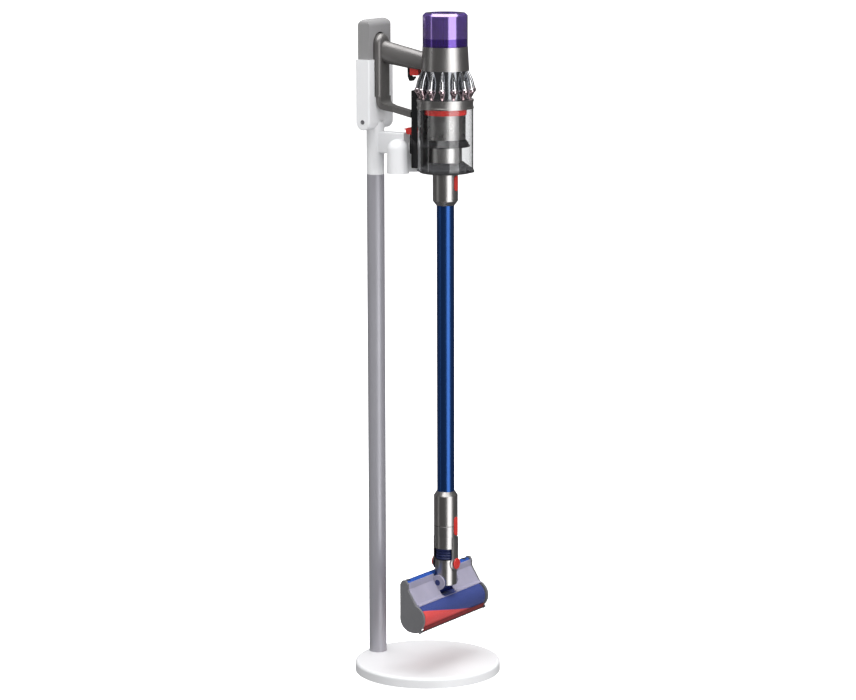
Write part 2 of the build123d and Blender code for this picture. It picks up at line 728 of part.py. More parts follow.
# ---- bin ------------------------------------------------------------------------------------
def bin_ear(y_low, y_high, low, high):
    """Hinge ear on the front of the bin."""
    x = VAC_X + BAND_R + 2.5
    ear = rod_y(3.5, y_low, y_high, x, DOOR_TOP)
    web = block(VAC_X + BIN_R - 3, x, y_low, y_high, low, high)
    return ear + web - rod(BIN_R - 1, low - 20, high + 20, VAC_X)


def hinge_hole():
    return rod_y(1.5, -40, 40, VAC_X + BAND_R + 2.5, DOOR_TOP)


def bin_cylinder():
    """Clear dust bin wall."""
    shape = tube(BIN_R, BIN_R - BIN_WALL, DOOR_TOP, BAND_BOTTOM - SEAT_GAP, VAC_X)
    for y in (-9.0, 5.0):
        shape += bin_ear(y, y + 4, DOOR_TOP, DOOR_TOP + 7)
    return shape - hinge_hole() - bin_door()


def bin_door():
    """Ring-shaped bin door with a dark inner dish."""
    shape = turned([
        (DOOR_HOLE_R, BIN_BOTTOM), (BIN_R - 6, BIN_BOTTOM), (BAND_R, BIN_BOTTOM + 4.5), (BAND_R, DOOR_TOP),
        (BIN_R - BIN_WALL, DOOR_TOP), (BIN_R - BIN_WALL, DOOR_TOP + 3), (INNER_TUBE_R + 3, DOOR_TOP + 16),
        (INNER_TUBE_R + 1.2, DOOR_TOP + 16), (INNER_TUBE_R + 1.2, DOOR_TOP), (DOOR_HOLE_R, DOOR_TOP)], VAC_X)
    x = VAC_X + BAND_R + 2.5
    ear = rod_y(3.5, -5, 5, x, DOOR_TOP)
    web = block(VAC_X + BIN_R - 4, x, -5, 5, BIN_BOTTOM + 5, DOOR_TOP)
    web -= rod(BIN_R - 3, 0, DOOR_TOP + 9, VAC_X)
    return shape + (ear - rod(BAND_R, 0, DOOR_TOP + 9, VAC_X)) + web - hinge_hole()


def door_hinge_pin():
    return rod_y(1.5, -9, 9, VAC_X + BAND_R + 2.5, DOOR_TOP)


# ---- wand -----------------------------------------------------------------------------------
def button_pad(low, high, radius, gap):
    """Slab with round ends standing on the +X side of a collar; gap widens it into its pocket."""
    half = BUTTON_HALF_W + gap
    inner = radius + BUTTON_PROUD - BUTTON_T
    slab = block(0, VAC_X + radius + 20, -half, half, low + half - gap, high - half + gap)
    ends = rod_x(half, 0, VAC_X + radius + 20, 0, low + half - gap)
    ends += rod_x(half, 0, VAC_X + radius + 20, 0, high - half + gap)
    shell = tube(radius + BUTTON_PROUD, inner, low - 5, high + 5, VAC_X)
    if gap:
        shell = tube(radius + 9, 0.01, low - 5, high + 5, VAC_X)
    return (slab + ends) & shell & block(VAC_X, VAC_X + 60, -20, 20, low - 5, high + 5)


def wand_button():
    return button_pad(WAND_BUTTON_LOW, WAND_BUTTON_HIGH, TOP_COLLAR_R, 0)


def head_button():
    return button_pad(HEAD_BUTTON_LOW, HEAD_BUTTON_HIGH, END_COLLAR_R, 0)


def wand_top_collar():
    """Silver collar that plugs onto the vacuum's nozzle."""
    ledge = DUCT_BOTTOM - 0.5
    shape = turned([
        (DUCT_R + SLIDE_GAP, TOP_COLLAR_TOP), (TOP_COLLAR_R, TOP_COLLAR_TOP),
        (TOP_COLLAR_R, TOP_COLLAR_BOTTOM + COLLAR_TAPER), (TUBE_R + 0.9, TOP_COLLAR_BOTTOM),
        (TUBE_R, TOP_COLLAR_BOTTOM), (TUBE_R, TUBE_TOP), (TUBE_R - TUBE_WALL, TUBE_TOP),
        (TUBE_R - TUBE_WALL, ledge), (DUCT_R + SLIDE_GAP, ledge)], VAC_X)
    return shape - button_pad(WAND_BUTTON_LOW, WAND_BUTTON_HIGH, TOP_COLLAR_R, SLIDE_GAP)


def wand_tube():
    """Blue anodised tube."""
    return tube(TUBE_R, TUBE_R - TUBE_WALL, TUBE_BOTTOM, TUBE_TOP, VAC_X)


def wand_end_collar():
    """Silver collar that takes the cleaner head."""
    socket = SPIGOT_R + SLIDE_GAP
    shape = turned([
        (TUBE_R, END_COLLAR_TOP), (TUBE_R + 0.9, END_COLLAR_TOP), (END_COLLAR_R, END_COLLAR_TOP - COLLAR_TAPER),
        (END_COLLAR_R, END_COLLAR_BOTTOM), (socket, END_COLLAR_BOTTOM), (socket, SPIGOT_TOP + 4),
        (TUBE_R - TUBE_WALL, SPIGOT_TOP + 8), (TUBE_R - TUBE_WALL, TUBE_BOTTOM), (TUBE_R, TUBE_BOTTOM)], VAC_X)
    return shape - button_pad(HEAD_BUTTON_LOW, HEAD_BUTTON_HIGH, END_COLLAR_R, SLIDE_GAP)


# ---- neck -----------------------------------------------------------------------------------
def yoke_arm(side):
    """Fork arm with a round tip about the steering pivot."""
    low, high = VAC_X + YOKE_INNER_X, VAC_X + YOKE_OUTER_X
    arm = block(low, high, -YOKE_HALF_W, YOKE_HALF_W, STEER_Z, END_COLLAR_BOTTOM - 2)
    arm += rod_x(YOKE_TIP_R, low, high, 0, STEER_Z)
    arm = arm & rod(YOKE_OUTER_X, 0, END_COLLAR_TOP, VAC_X)
    return arm if side > 0 else mirror(arm, Plane.YZ.offset(VAC_X))


def neck_yoke():
    """Silver collar with a spigot for the wand and two fork arms."""
    shape = tube(SPIGOT_R, SPIGOT_BORE_R, NECK_BOTTOM, SPIGOT_TOP, VAC_X)
    shape += tube(NECK_R, SPIGOT_BORE_R, NECK_BOTTOM, END_COLLAR_BOTTOM - SEAT_GAP, VAC_X)
    for side in (-1, 1):
        shape += yoke_arm(side)
    return shape - rod_x(PIN_R, VAC_X - 40, VAC_X + 40, 0, STEER_Z)


def pivot_caps():
    """Red caps with the pivot pins behind them."""
    cap = rod_x(CAP_R, VAC_X + YOKE_OUTER_X, VAC_X + YOKE_OUTER_X + CAP_T, 0, STEER_Z)
    cap = fillet(cap.edges().group_by(Axis.X)[-1], 1.5)
    one = cap + rod_x(PIN_R, VAC_X + LOWER_NECK_BORE_R, VAC_X + YOKE_OUTER_X, 0, STEER_Z)
    return Compound(children=[one, mirror(one, Plane.YZ.offset(VAC_X))])




def neck_hose():
    """Ribbed hose between the fork arms."""
    low, high = LOWER_NECK_TOP + SEAT_GAP, NECK_BOTTOM
    pitch = (high - low) / HOSE_RIBS
    points = [(SPIGOT_BORE_R - 0.5, low)]
    for index in range(HOSE_RIBS):
        start = low + index * pitch
        points += [(HOSE_R - HOSE_RIB, start), (HOSE_R, start + pitch * 0.25), (HOSE_R, start + pitch * 0.75)]
    points += [(HOSE_R - HOSE_RIB, high), (SPIGOT_BORE_R - 0.5, high)]
    return turned(points, VAC_X)


def neck_tube():
    """Silver lower neck, flat where the fork arms run beside it."""
    shape = tube(LOWER_NECK_R, LOWER_NECK_BORE_R, LOWER_NECK_BOTTOM, LOWER_NECK_TOP, VAC_X)
    flat = YOKE_INNER_X - SLIDE_GAP
    for side in (-1, 1):
        low, high = (VAC_X + flat, VAC_X + 40) if side > 0 else (VAC_X - 40, VAC_X - flat)
        shape -= rod_x(YOKE_TIP_R + 1.5, low, high, 0, STEER_Z)
        shape -= block(low, high, -30, 30, STEER_Z - 4, LOWER_NECK_TOP + 1)
    shape -= rod_x(PIN_R + RUN_GAP, VAC_X - 40, VAC_X + 40, 0, STEER_Z)
    reach = LOWER_NECK_R + CUT_OVER
    return shape - rod_y(ELBOW_R, -reach, reach, PITCH_X, PITCH_Z)


def elbow_drum():
    """Blue drum on two trunnions, at the bottom of the neck."""
    shape = rod_y(ELBOW_R, -ELBOW_HALF_W, ELBOW_HALF_W, PITCH_X, PITCH_Z)
    reach = ELBOW_HALF_W + CHEEK_GAP + CHEEK_T
    shape += rod_y(TRUNNION_R, -reach, reach, PITCH_X, PITCH_Z)
    return shape - rod(ELBOW_BORE_R, PITCH_Z - 2 * ELBOW_R, PITCH_Z + 2 * ELBOW_R, PITCH_X)


# ---- cleaner head ---------------------------------------------------------------------------
def cap_outline():
    """End cap without its round lower end: flat back, sloping front."""
    return [(SOLE_X, ROLLER_Z), (SOLE_X, 211), (19, 218.5), (27, 219), (32, 211),
            (31.5, 200), (51, 169), (62, 160), (ROLLER_X, ROLLER_Z)]


def bumper_centre():
    return 61.0, 115.5


def end_cap(y_low, y_high):
    """Grey end cap of the head."""
    x, z = bumper_centre()
    shape = side_plate(cap_outline(), y_low, y_high)
    shape += rod_y(CAP_ROUND_R, y_low, y_high, ROLLER_X, ROLLER_Z)
    return shape + rod_y(3.4, y_low, y_high, x, z)


def end_cap_near():
    """Cap with the stub that the roller runs on."""
    inner = -HEAD_HALF_W + CAP_WALL
    return end_cap(-HEAD_HALF_W, inner) + rod_y(STUB_R, inner, inner + 11, ROLLER_X, ROLLER_Z)


def end_cap_far():
    return end_cap(HEAD_HALF_W - CAP_WALL, HEAD_HALF_W)


def notch():
    """Room for the neck as the head tilts."""
    low = -NOTCH_HALF_W
    high = NOTCH_HALF_W
    shape = rod_y(NOTCH_R, low, high, PITCH_X, PITCH_Z)
    shape += block(PITCH_X - NOTCH_R, 120, low, high, PITCH_Z, 260)
    return shape + block(PITCH_X, 120, low, high, PITCH_Z - NOTCH_R, 260)


def head_hood():
    """Clear front cover with two round cheeks that carry the elbow."""
    outline = [(31.5, 213), (31.5, 200), (50.8, 171.5), (58, 169.5), (57.2, 167), (49.5, 169.2),
               (31.5 - HOOD_T, 199), (31.5 - HOOD_T, 213)]
    inner = HEAD_HALF_W - CAP_WALL
    shape = side_plate(outline, -inner, inner) - notch()
    for side in (-1, 1):
        low = ELBOW_HALF_W + CHEEK_GAP if side > 0 else -ELBOW_HALF_W - CHEEK_GAP - CHEEK_T
        cheek = rod_y(ELBOW_R, low, low + CHEEK_T, PITCH_X, PITCH_Z)
        foot = block(SOLE_X + SOLE_T, PITCH_X, low, low + CHEEK_T, PITCH_Z - 8, PITCH_Z + 8)
        shape += cheek + foot
    return shape - rod_y(TRUNNION_R + RUN_GAP, -60, 60, PITCH_X, PITCH_Z)


def rear_bar():
    """Translucent blue bar along the top of the head, with pockets for the rear wheels."""
    inner = HEAD_HALF_W - CAP_WALL
    outline = [(SOLE_X, 205), (28.8, 205), (28.8, 213), (25, 216), (17, 216), (SOLE_X, 213)]
    shape = side_plate(outline, -inner, inner)
    shape -= block(SOLE_X + 2.4, 40, -NOTCH_HALF_W, NOTCH_HALF_W, 200, 220)
    for side in (-1, 1):
        y = side * WHEEL_Y
        reach = WHEEL_W / 2 + WHEEL_CLEAR
        deep = WHEEL_X + WHEEL_R + WHEEL_CLEAR
        shape -= block(0, deep, y - reach, y + reach, 200, 222)
        shape -= rod_y(AXLE_R + RUN_GAP, y - 7, y + 7, WHEEL_X, WHEEL_Z)
    return shape


def head_frame():
    """Dark sole plate and front strip, joined by a curved rib at each end."""
    inner = HEAD_HALF_W - CAP_WALL
    shape = block(SOLE_X, SOLE_X + SOLE_T, -inner, inner, 172, 205)
    x, z = bumper_centre()
    shape += rod_y(2.4, -inner, inner, x, z)
    for side in (-1, 1):
        low = inner - 3 if side > 0 else -inner
        rib = rod_y(CAP_ROUND_R + 2.2, low, low + 3, ROLLER_X, ROLLER_Z)
        rib -= rod_y(CAP_ROUND_R - 0.6, low - 1, low + 4, ROLLER_X, ROLLER_Z)
        corner = [(SOLE_X, 176), (SOLE_X, 100), (x, 100), (x, z), (ROLLER_X, ROLLER_Z), (30, 176)]
        rib &= side_plate(corner, low - 1, low + 4)
        rib &= block(SOLE_X, 90, low - 1, low + 4, 90, 190)
        shape += rib + block(SOLE_X, SOLE_X + SOLE_T, low, low + 3, ROLLER_Z, 173)
    return shape


def roller_motor():
    """Motor inside the roller, fixed to the far cap."""
    inner = HEAD_HALF_W - CAP_WALL
    shape = rod_y(ROLLER_MOTOR_R, -18, inner, ROLLER_X, ROLLER_Z)
    return shape + rod_y(3.0, -24, -18, ROLLER_X, ROLLER_Z)


def roller_span():
    return HEAD_HALF_W - CAP_WALL - 3.6


def roller_core():
    """Roller tube with a drive web and an end plug."""
    half = roller_span()
    shape = rod_y(CORE_R, -half, half, ROLLER_X, ROLLER_Z)
    shape -= rod_y(CORE_R - CORE_WALL, -18.6, half + 1, ROLLER_X, ROLLER_Z)
    shape -= rod_y(CORE_R - CORE_WALL, -half + 8, -24.5, ROLLER_X, ROLLER_Z)
    shape -= rod_y(STUB_R + RUN_GAP, -half - 1, -half + 9, ROLLER_X, ROLLER_Z)
    return shape - rod_y(3.0 + RUN_GAP, -26, -18, ROLLER_X, ROLLER_Z)


def roller_sleeve():
    """Soft two-colour nap on the roller."""
    half = roller_span()
    shape = rod_y(ROLLER_R, -half, half, ROLLER_X, ROLLER_Z)
    return shape - rod_y(CORE_R, -half - 1, half + 1, ROLLER_X, ROLLER_Z)


def wheel(side):
    """Small rear wheel with its axle."""
    y = side * WHEEL_Y
    disc = rod_y(WHEEL_R, y - WHEEL_W / 2, y + WHEEL_W / 2, WHEEL_X, WHEEL_Z)
    return disc + rod_y(AXLE_R, y - 6.5, y + 6.5, WHEEL_X, WHEEL_Z)


# ---- nodes ----------------------------------------------------------------------------------
NODES = {
    "base_plate": base_plate(),
    "base_weight": base_weight(),
    "base_mat": base_mat(),
    "pole": pole(),
    "column": column(),
    "tool_holder": tool_holder(),
    "dock_housing": dock_housing(),
    "dock_insert": dock_insert(),
    "housing_screws": housing_screws(),
    "charge_inlet": charge_inlet(),
    "motor_housing": motor_housing(),
    "display_column": display_column(),
    "display_window": display_window(),
    "stator": stator(),
    "motor_bearings": motor_bearings(),
    "cyclone_body": cyclone_body(),
    "cyclone_hoops": around(cyclone_hoop()),
    "cyclone_cones": around(cyclone_cone()),
    "cyclone_band": cyclone_band(),
    "bin_rail": bin_rail(),
    "shroud_collar": shroud_collar(),
    "shroud": shroud(),
    "shroud_skirt": shroud_skirt(),
    "inlet_duct": inlet_duct(),
    "grip_near": grip_half(-1),
    "grip_far": grip_half(1),
    "trigger_guard": trigger_guard(),
    "battery_case": battery_case(),
    "battery_cells": battery_cells(),
    "handle_strut": handle_strut(),
    "bin_cylinder": bin_cylinder(),
    "bin_door": bin_door(),
    "door_hinge_pin": door_hinge_pin(),
    "filter_shell": filter_shell(),
    "filter_pleats": filter_pleats(),
    "impeller": impeller(),
    "motor_shaft": motor_shaft(),
    "trigger": trigger(),
    "mode_button": mode_button(),
    "bin_release": bin_release(),
    "wand_top_collar": wand_top_collar(),
    "wand_tube": wand_tube(),
    "wand_end_collar": wand_end_collar(),
    "wand_button": wand_button(),
    "head_button": head_button(),
    "neck_yoke": neck_yoke(),
    "pivot_caps": pivot_caps(),
    "neck_hose": neck_hose(),
    "neck_tube": neck_tube(),
    "elbow_drum": elbow_drum(),
    "head_hood": head_hood(),
    "rear_bar": rear_bar(),
    "head_frame": head_frame(),
    "end_cap_near": end_cap_near(),
    "end_cap_far": end_cap_far(),
    "roller_motor": roller_motor(),
    "roller_core": roller_core(),
    "roller_sleeve": roller_sleeve(),
    "wheel_near": wheel(-1),
    "wheel_far": wheel(1),
}

for node_name, node_shape in NODES.items():
    save(node_shape, node_name)
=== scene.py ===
import math

import bmesh
import bpy
from mathutils import Matrix, Vector


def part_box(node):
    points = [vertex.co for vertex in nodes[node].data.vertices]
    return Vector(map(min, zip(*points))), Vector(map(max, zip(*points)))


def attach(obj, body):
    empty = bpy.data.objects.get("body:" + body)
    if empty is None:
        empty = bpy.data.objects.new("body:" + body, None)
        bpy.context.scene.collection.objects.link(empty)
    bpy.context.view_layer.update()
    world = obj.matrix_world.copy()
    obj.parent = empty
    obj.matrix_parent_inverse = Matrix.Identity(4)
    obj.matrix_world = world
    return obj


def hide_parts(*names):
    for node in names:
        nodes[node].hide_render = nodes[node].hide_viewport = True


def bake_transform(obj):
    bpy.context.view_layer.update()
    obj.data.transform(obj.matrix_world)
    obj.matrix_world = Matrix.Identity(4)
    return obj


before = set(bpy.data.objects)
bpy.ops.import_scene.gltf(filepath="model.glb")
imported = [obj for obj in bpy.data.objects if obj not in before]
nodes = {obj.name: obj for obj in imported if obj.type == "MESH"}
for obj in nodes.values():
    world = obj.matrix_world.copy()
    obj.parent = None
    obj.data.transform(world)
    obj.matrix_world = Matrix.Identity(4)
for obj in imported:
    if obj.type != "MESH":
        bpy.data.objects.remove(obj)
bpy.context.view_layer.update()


# ---- finishes -------------------------------------------------------------------------------
HELIX_SLOPE = math.radians(95) / 0.23     # turn of the roller's two colours per metre
HELIX_START = math.radians(-7.5)          # their boundary's angle at the middle of the roller
ROW_RISE = 0.866                          # rows of holes stand this part of their pitch apart
HOLE_EDGE = (0.24, 0.32)                  # where a hole fades out, as parts of the pitch
# Painted shade: how dark the mesh's holes are painted, for the shade inside them.
HOLE_SHADE = 0.12
PARTING_DARK = (0.02, 0.02, 0.02)

SHROUD_X, SHROUD_R, SHROUD_PITCH = 0.045, 0.041, 0.0011
ROLLER_X, ROLLER_Z = 0.0425, 0.141
FINGER_ROSE, FINGER_BRIGHT = 1.206, 1.216    # heights between which the fingers lose their rose
FILTER_DEEP, FILTER_PALE = 1.3105, 1.3115    # the same for the deep band of the filter's shell
LATCH_RED_FROM = 1.113
COLLAR_SEAM, COLLAR_SEAM_W = 0.3136, 0.0005


class Finish:
    """One surface finish: a Principled shader and the nodes that give it its grain."""

    def __init__(self, name, colour, metallic=0.0, roughness=0.4):
        self.material = bpy.data.materials.new(name)
        self.material.use_nodes = True
        self.tree = self.material.node_tree
        self.shader = self.tree.nodes["Principled BSDF"]
        self.output = self.tree.nodes["Material Output"]
        self.colour = colour
        self.roughness = roughness
        self.shader.inputs["Base Color"].default_value = (*colour, 1.0)
        self.shader.inputs["Metallic"].default_value = metallic
        self.shader.inputs["Roughness"].default_value = roughness
        self.place = self.node("ShaderNodeTexCoord").outputs["Object"]

    def node(self, kind, **settings):
        made = self.tree.nodes.new(kind)
        for key, value in settings.items():
            setattr(made, key, value)
        return made

    def join(self, source, target):
        self.tree.links.new(source, target)

    def set(self, **values):
        """Constant values straight on the shader's own sockets."""
        for key, value in values.items():
            self.shader.inputs[key.replace("_", " ")].default_value = value
        return self

    def noise(self, scale, detail=3.0, stretch=None):
        texture = self.node("ShaderNodeTexNoise")
        texture.inputs["Scale"].default_value = scale
        texture.inputs["Detail"].default_value = detail
        source = self.place
        if stretch:
            mapping = self.node("ShaderNodeMapping")
            mapping.inputs["Scale"].default_value = stretch
            self.join(self.place, mapping.inputs["Vector"])
            source = mapping.outputs["Vector"]
        self.join(source, texture.inputs["Vector"])
        return texture.outputs["Fac"]

    def spread(self, source, low, high, start=0.3, end=0.7):
        """Source remapped so that start to end becomes low to high."""
        remap = self.node("ShaderNodeMapRange")
        remap.inputs["From Min"].default_value = start
        remap.inputs["From Max"].default_value = end
        remap.inputs["To Min"].default_value = low
        remap.inputs["To Max"].default_value = high
        self.join(source, remap.inputs["Value"])
        return remap.outputs["Result"]

    def math(self, operation, first, second=None, third=None):
        step = self.node("ShaderNodeMath", operation=operation)
        for index, value in enumerate((first, second, third)):
            if value is None:
                continue
            if isinstance(value, (int, float)):
                step.inputs[index].default_value = value
            else:
                self.join(value, step.inputs[index])
        return step.outputs["Value"]

    def mix(self, share, first, second):
        blend = self.node("ShaderNodeMix", data_type="RGBA")
        for key, value in (("Factor", share), ("A", first), ("B", second)):
            socket = [s for s in blend.inputs if s.name == key and s.enabled][0]
            if isinstance(value, (int, float)):
                socket.default_value = value
            elif isinstance(value, tuple):
                socket.default_value = (*value, 1.0)
            else:
                self.join(value, socket)
        return [s for s in blend.outputs if s.enabled][0]

    def axes(self):
        parts = self.node("ShaderNodeSeparateXYZ")
        self.join(self.place, parts.inputs["Vector"])
        return parts.outputs["X"], parts.outputs["Y"], parts.outputs["Z"]

    def turn(self, across, up, centre_across, centre_up):
        """Angle round an axis, in radians, from two of the object's axes."""
        one = self.math("SUBTRACT", across, centre_across)
        two = self.math("SUBTRACT", up, centre_up)
        return self.math("ARCTAN2", two, one)

    def paint(self, source):
        self.join(source, self.shader.inputs["Base Color"])
        return self

    def mottle(self, scale, amount):
        """Slight cloudiness of the colour."""
        dark = tuple(c * (1 - amount) for c in self.colour)
        light = tuple(min(1.0, c * (1 + amount)) for c in self.colour)
        cloud = self.spread(self.noise(scale), 0, 1)
        return self.paint(self.mix(cloud, dark, light))

    def polish(self, scale, amount, stretch=None):
        """Roughness that drifts over the surface, as handling and moulding leave it."""
        drift = self.noise(scale, 2.0, stretch)
        source = self.spread(drift, self.roughness - amount, self.roughness + amount)
        self.join(source, self.shader.inputs["Roughness"])
        return self

    def grain(self, scale, height, stretch=None, source=None):
        """Raised grain, height in metres."""
        bump = self.node("ShaderNodeBump")
        bump.inputs["Strength"].default_value = 1.0
        bump.inputs["Distance"].default_value = height
        grain = source if source is not None else self.noise(scale, 2.0, stretch)
        self.join(grain, bump.inputs["Height"])
        old = self.shader.inputs["Normal"]
        if old.is_linked:
            self.join(old.links[0].from_socket, bump.inputs["Normal"])
        self.join(bump.outputs["Normal"], old)
        return self

    def perforate(self, centre_x, centre_y, radius, pitch):
        """Rows of fine round holes, staggered, round an upright cylinder, painted as dark spots:
        painted shade for the inside of the holes.
        """
        x, y, z = self.axes()
        along = self.math("MULTIPLY", self.turn(x, y, centre_x, centre_y), radius / pitch)
        up = self.math("DIVIDE", z, pitch * ROW_RISE)
        row = self.math("FLOOR", up)
        shift = self.math("MULTIPLY", self.math("MODULO", row, 2.0), 0.5)
        across = self.math("SUBTRACT", self.math("FRACT", self.math("ADD", along, shift)), 0.5)
        upward = self.math("SUBTRACT", self.math("FRACT", up), 0.5)
        reach = self.math("SQRT", self.math("ADD", self.math("MULTIPLY", across, across),
                                            self.math("MULTIPLY", upward, upward)))
        hole = self.spread(reach, 1.0, 0.0, *HOLE_EDGE)
        cloud = self.spread(self.noise(80), 0.9, 1.05)
        # Painted shade: the holes get a darker copy of the colour, for the shade inside them.
        dark = tuple(c * HOLE_SHADE for c in self.colour)
        self.paint(self.mix(hole, self.colour, dark))
        rim = self.math("SUBTRACT", cloud, hole)
        self.polish(60, 0.05)
        return self.grain(0, 0.00004, source=rim)

    def helix_halves(self, centre_x, centre_z, other):
        """Two colours wound round a level roller, with their boundary a slow helix."""
        x, y, z = self.axes()
        angle = self.turn(x, z, centre_x, centre_z)
        line = self.math("MULTIPLY_ADD", y, -HELIX_SLOPE, HELIX_START)
        past = self.math("SUBTRACT", angle, line)
        side = self.math("SINE", past)
        share = self.spread(side, 0.0, 1.0, -0.03, 0.03)
        tufts = self.spread(self.noise(900), 0.78, 1.12)
        base = self.mix(share, self.colour, other)
        shade = self.node("ShaderNodeVectorMath", operation="SCALE")
        self.join(base, shade.inputs[0])
        self.join(tufts, shade.inputs["Scale"])
        return self.paint(shade.outputs["Vector"])

    def fade_up(self, low, high, above):
        """The colour gives way to another between two heights."""
        z = self.axes()[2]
        cloud = self.spread(self.noise(120), 0, 1)
        warm = self.mix(cloud, tuple(c * 0.93 for c in self.colour), self.colour)
        return self.paint(self.mix(self.spread(z, 0.0, 1.0, low, high), warm, above))

    def red_above(self, height, below):
        """This finish's colour above a height, and another below it."""
        z = self.axes()[2]
        share = self.math("GREATER_THAN", z, height)
        cloud = self.spread(self.noise(60), 0, 1)
        bright = tuple(c * 1.08 for c in self.colour)
        return self.paint(self.mix(share, below, self.mix(cloud, self.colour, bright)))

    def seam_at(self, height, width):
        """Dark parting line round an upright piece."""
        z = self.axes()[2]
        off = self.math("ABSOLUTE", self.math("SUBTRACT", z, height))
        line = self.spread(off, 1.0, 0.0, width * 0.4, width)
        cloud = self.mix(self.spread(self.noise(20), 0, 1), self.colour,
                         tuple(c * 0.97 for c in self.colour))
        self.paint(self.mix(line, cloud, PARTING_DARK))
        return self.grain(0, 0.0003, source=self.math("SUBTRACT", 1.0, line))

    def lets_light_in(self, tint=(1.0, 1.0, 1.0)):
        """Rays from lamps pass, so that what the clear wall holds is lit."""
        clear = self.node("ShaderNodeBsdfTransparent")
        clear.inputs["Color"].default_value = (*tint, 1.0)
        path = self.node("ShaderNodeLightPath")
        choose = self.node("ShaderNodeMixShader")
        self.join(path.outputs["Is Shadow Ray"], choose.inputs["Fac"])
        self.join(self.shader.outputs["BSDF"], choose.inputs[1])
        self.join(clear.outputs["BSDF"], choose.inputs[2])
        self.join(choose.outputs["Shader"], self.output.inputs["Surface"])
        return self


def cover(piece, finish):
    piece.data.materials.clear()
    piece.data.materials.append(finish.material)


def wear(*names, finish):
    """Gives these CAD nodes a finish."""
    for name in names:
        cover(nodes[name], finish)


white_moulding = Finish("white_moulding", (0.84, 0.845, 0.86), roughness=0.36)
white_moulding.mottle(9, 0.012).polish(14, 0.05).grain(2600, 0.00004)
white_moulding.set(Coat_Weight=0.15, Coat_Roughness=0.25)

pole_lacquer = Finish("pole_lacquer", (0.44, 0.435, 0.475), metallic=0.35, roughness=0.42)
pole_lacquer.mottle(20, 0.02).polish(40, 0.05, (1, 1, 0.1)).grain(900, 0.00003, (1, 1, 0.06))

cast_weight = Finish("cast_weight", (0.10, 0.10, 0.105), metallic=0.8, roughness=0.6)
cast_weight.mottle(30, 0.2).polish(60, 0.1).grain(700, 0.0002)

mat_rubber = Finish("mat_rubber", (0.025, 0.025, 0.026), roughness=0.8)
mat_rubber.mottle(40, 0.2).polish(80, 0.08).grain(1500, 0.0001)

dock_grey = Finish("dock_grey", (0.30, 0.297, 0.30), metallic=0.1, roughness=0.42)
dock_grey.mottle(12, 0.015).polish(25, 0.05).grain(2200, 0.00004)

plated_steel = Finish("plated_steel", (0.42, 0.42, 0.44), metallic=1.0, roughness=0.3)
plated_steel.mottle(60, 0.05).polish(200, 0.08).grain(1200, 0.00003)

screw_dark = Finish("screw_dark", (0.20, 0.20, 0.21), metallic=0.4, roughness=0.45)
screw_dark.mottle(200, 0.06).polish(200, 0.06).grain(1500, 0.00003)

felt_red = Finish("felt_red", (0.22, 0.02, 0.022), roughness=0.9)
felt_red.mottle(200, 0.2).polish(120, 0.05).grain(2500, 0.0002)

gunmetal = Finish("gunmetal", (0.22, 0.212, 0.208), metallic=0.6, roughness=0.36)
gunmetal.mottle(25, 0.04).polish(40, 0.05).grain(3000, 0.00003)

gloss_black = Finish("gloss_black", (0.012, 0.012, 0.013), roughness=0.14)
gloss_black.mottle(30, 0.1).polish(30, 0.03).grain(300, 0.00001)

dark_moulding = Finish("dark_moulding", (0.03, 0.03, 0.033), roughness=0.45)
dark_moulding.mottle(30, 0.1).polish(50, 0.06).grain(2200, 0.00005)

silver_satin = Finish("silver_satin", (0.60, 0.585, 0.575), metallic=1.0, roughness=0.30)
silver_satin.mottle(20, 0.02).polish(35, 0.03, (1, 1, 0.3)).grain(2600, 0.00002)
silver_satin.set(Anisotropic=0.35)

chrome_rose = Finish("chrome_rose", (0.78, 0.60, 0.64), metallic=1.0, roughness=0.09)
chrome_rose.fade_up(FINGER_ROSE, FINGER_BRIGHT, (0.86, 0.87, 0.90))
chrome_rose.polish(90, 0.03).grain(200, 0.00001)

chrome_smoked = Finish("chrome_smoked", (0.30, 0.31, 0.33), metallic=1.0, roughness=0.13)
chrome_smoked.mottle(60, 0.06).polish(60, 0.03).grain(300, 0.00001)

signal_red = Finish("signal_red", (0.62, 0.035, 0.028), roughness=0.25)
signal_red.mottle(60, 0.05).polish(90, 0.05).grain(2000, 0.00003)
signal_red.set(Coat_Weight=0.4, Coat_Roughness=0.12)

display_glass = Finish("display_glass", (0.008, 0.009, 0.012), roughness=0.06)
display_glass.mottle(40, 0.1).polish(60, 0.02).grain(120, 0.00001)

copper_windings = Finish("copper_windings", (0.55, 0.22, 0.10), metallic=1.0, roughness=0.35)
copper_windings.mottle(90, 0.15).polish(120, 0.08)
copper_windings.grain(900, 0.0003, (1, 1, 4))

shrink_wrap = Finish("shrink_wrap", (0.04, 0.25, 0.15), roughness=0.35)
shrink_wrap.mottle(60, 0.08).polish(70, 0.08).grain(500, 0.00006)

blue_anodised = Finish("blue_anodised", (0.032, 0.105, 0.36), metallic=0.92, roughness=0.3)
blue_anodised.mottle(18, 0.03).polish(30, 0.03, (1, 1, 0.1)).grain(1600, 0.00002, (1, 1, 0.04))

navy_moulding = Finish("navy_moulding", (0.012, 0.022, 0.11), roughness=0.33)
navy_moulding.mottle(50, 0.1).polish(60, 0.05).grain(2000, 0.00004)

cap_grey = Finish("cap_grey", (0.175, 0.175, 0.185), metallic=0.1, roughness=0.5)
cap_grey.mottle(22, 0.04).polish(30, 0.05).grain(1700, 0.00008)

clear_wall = Finish("clear_wall", (0.97, 0.975, 0.98), roughness=0.03)
clear_wall.mottle(20, 0.01).polish(30, 0.015).grain(40, 0.000004)
clear_wall.set(Transmission_Weight=1.0, IOR=1.49).lets_light_in((0.93, 0.93, 0.94))

smoked_clear = Finish("smoked_clear", (0.10, 0.10, 0.105), roughness=0.08)
smoked_clear.mottle(30, 0.08).polish(30, 0.03).grain(120, 0.00002)
smoked_clear.set(Transmission_Weight=0.5, IOR=1.49).lets_light_in((0.5, 0.5, 0.5))

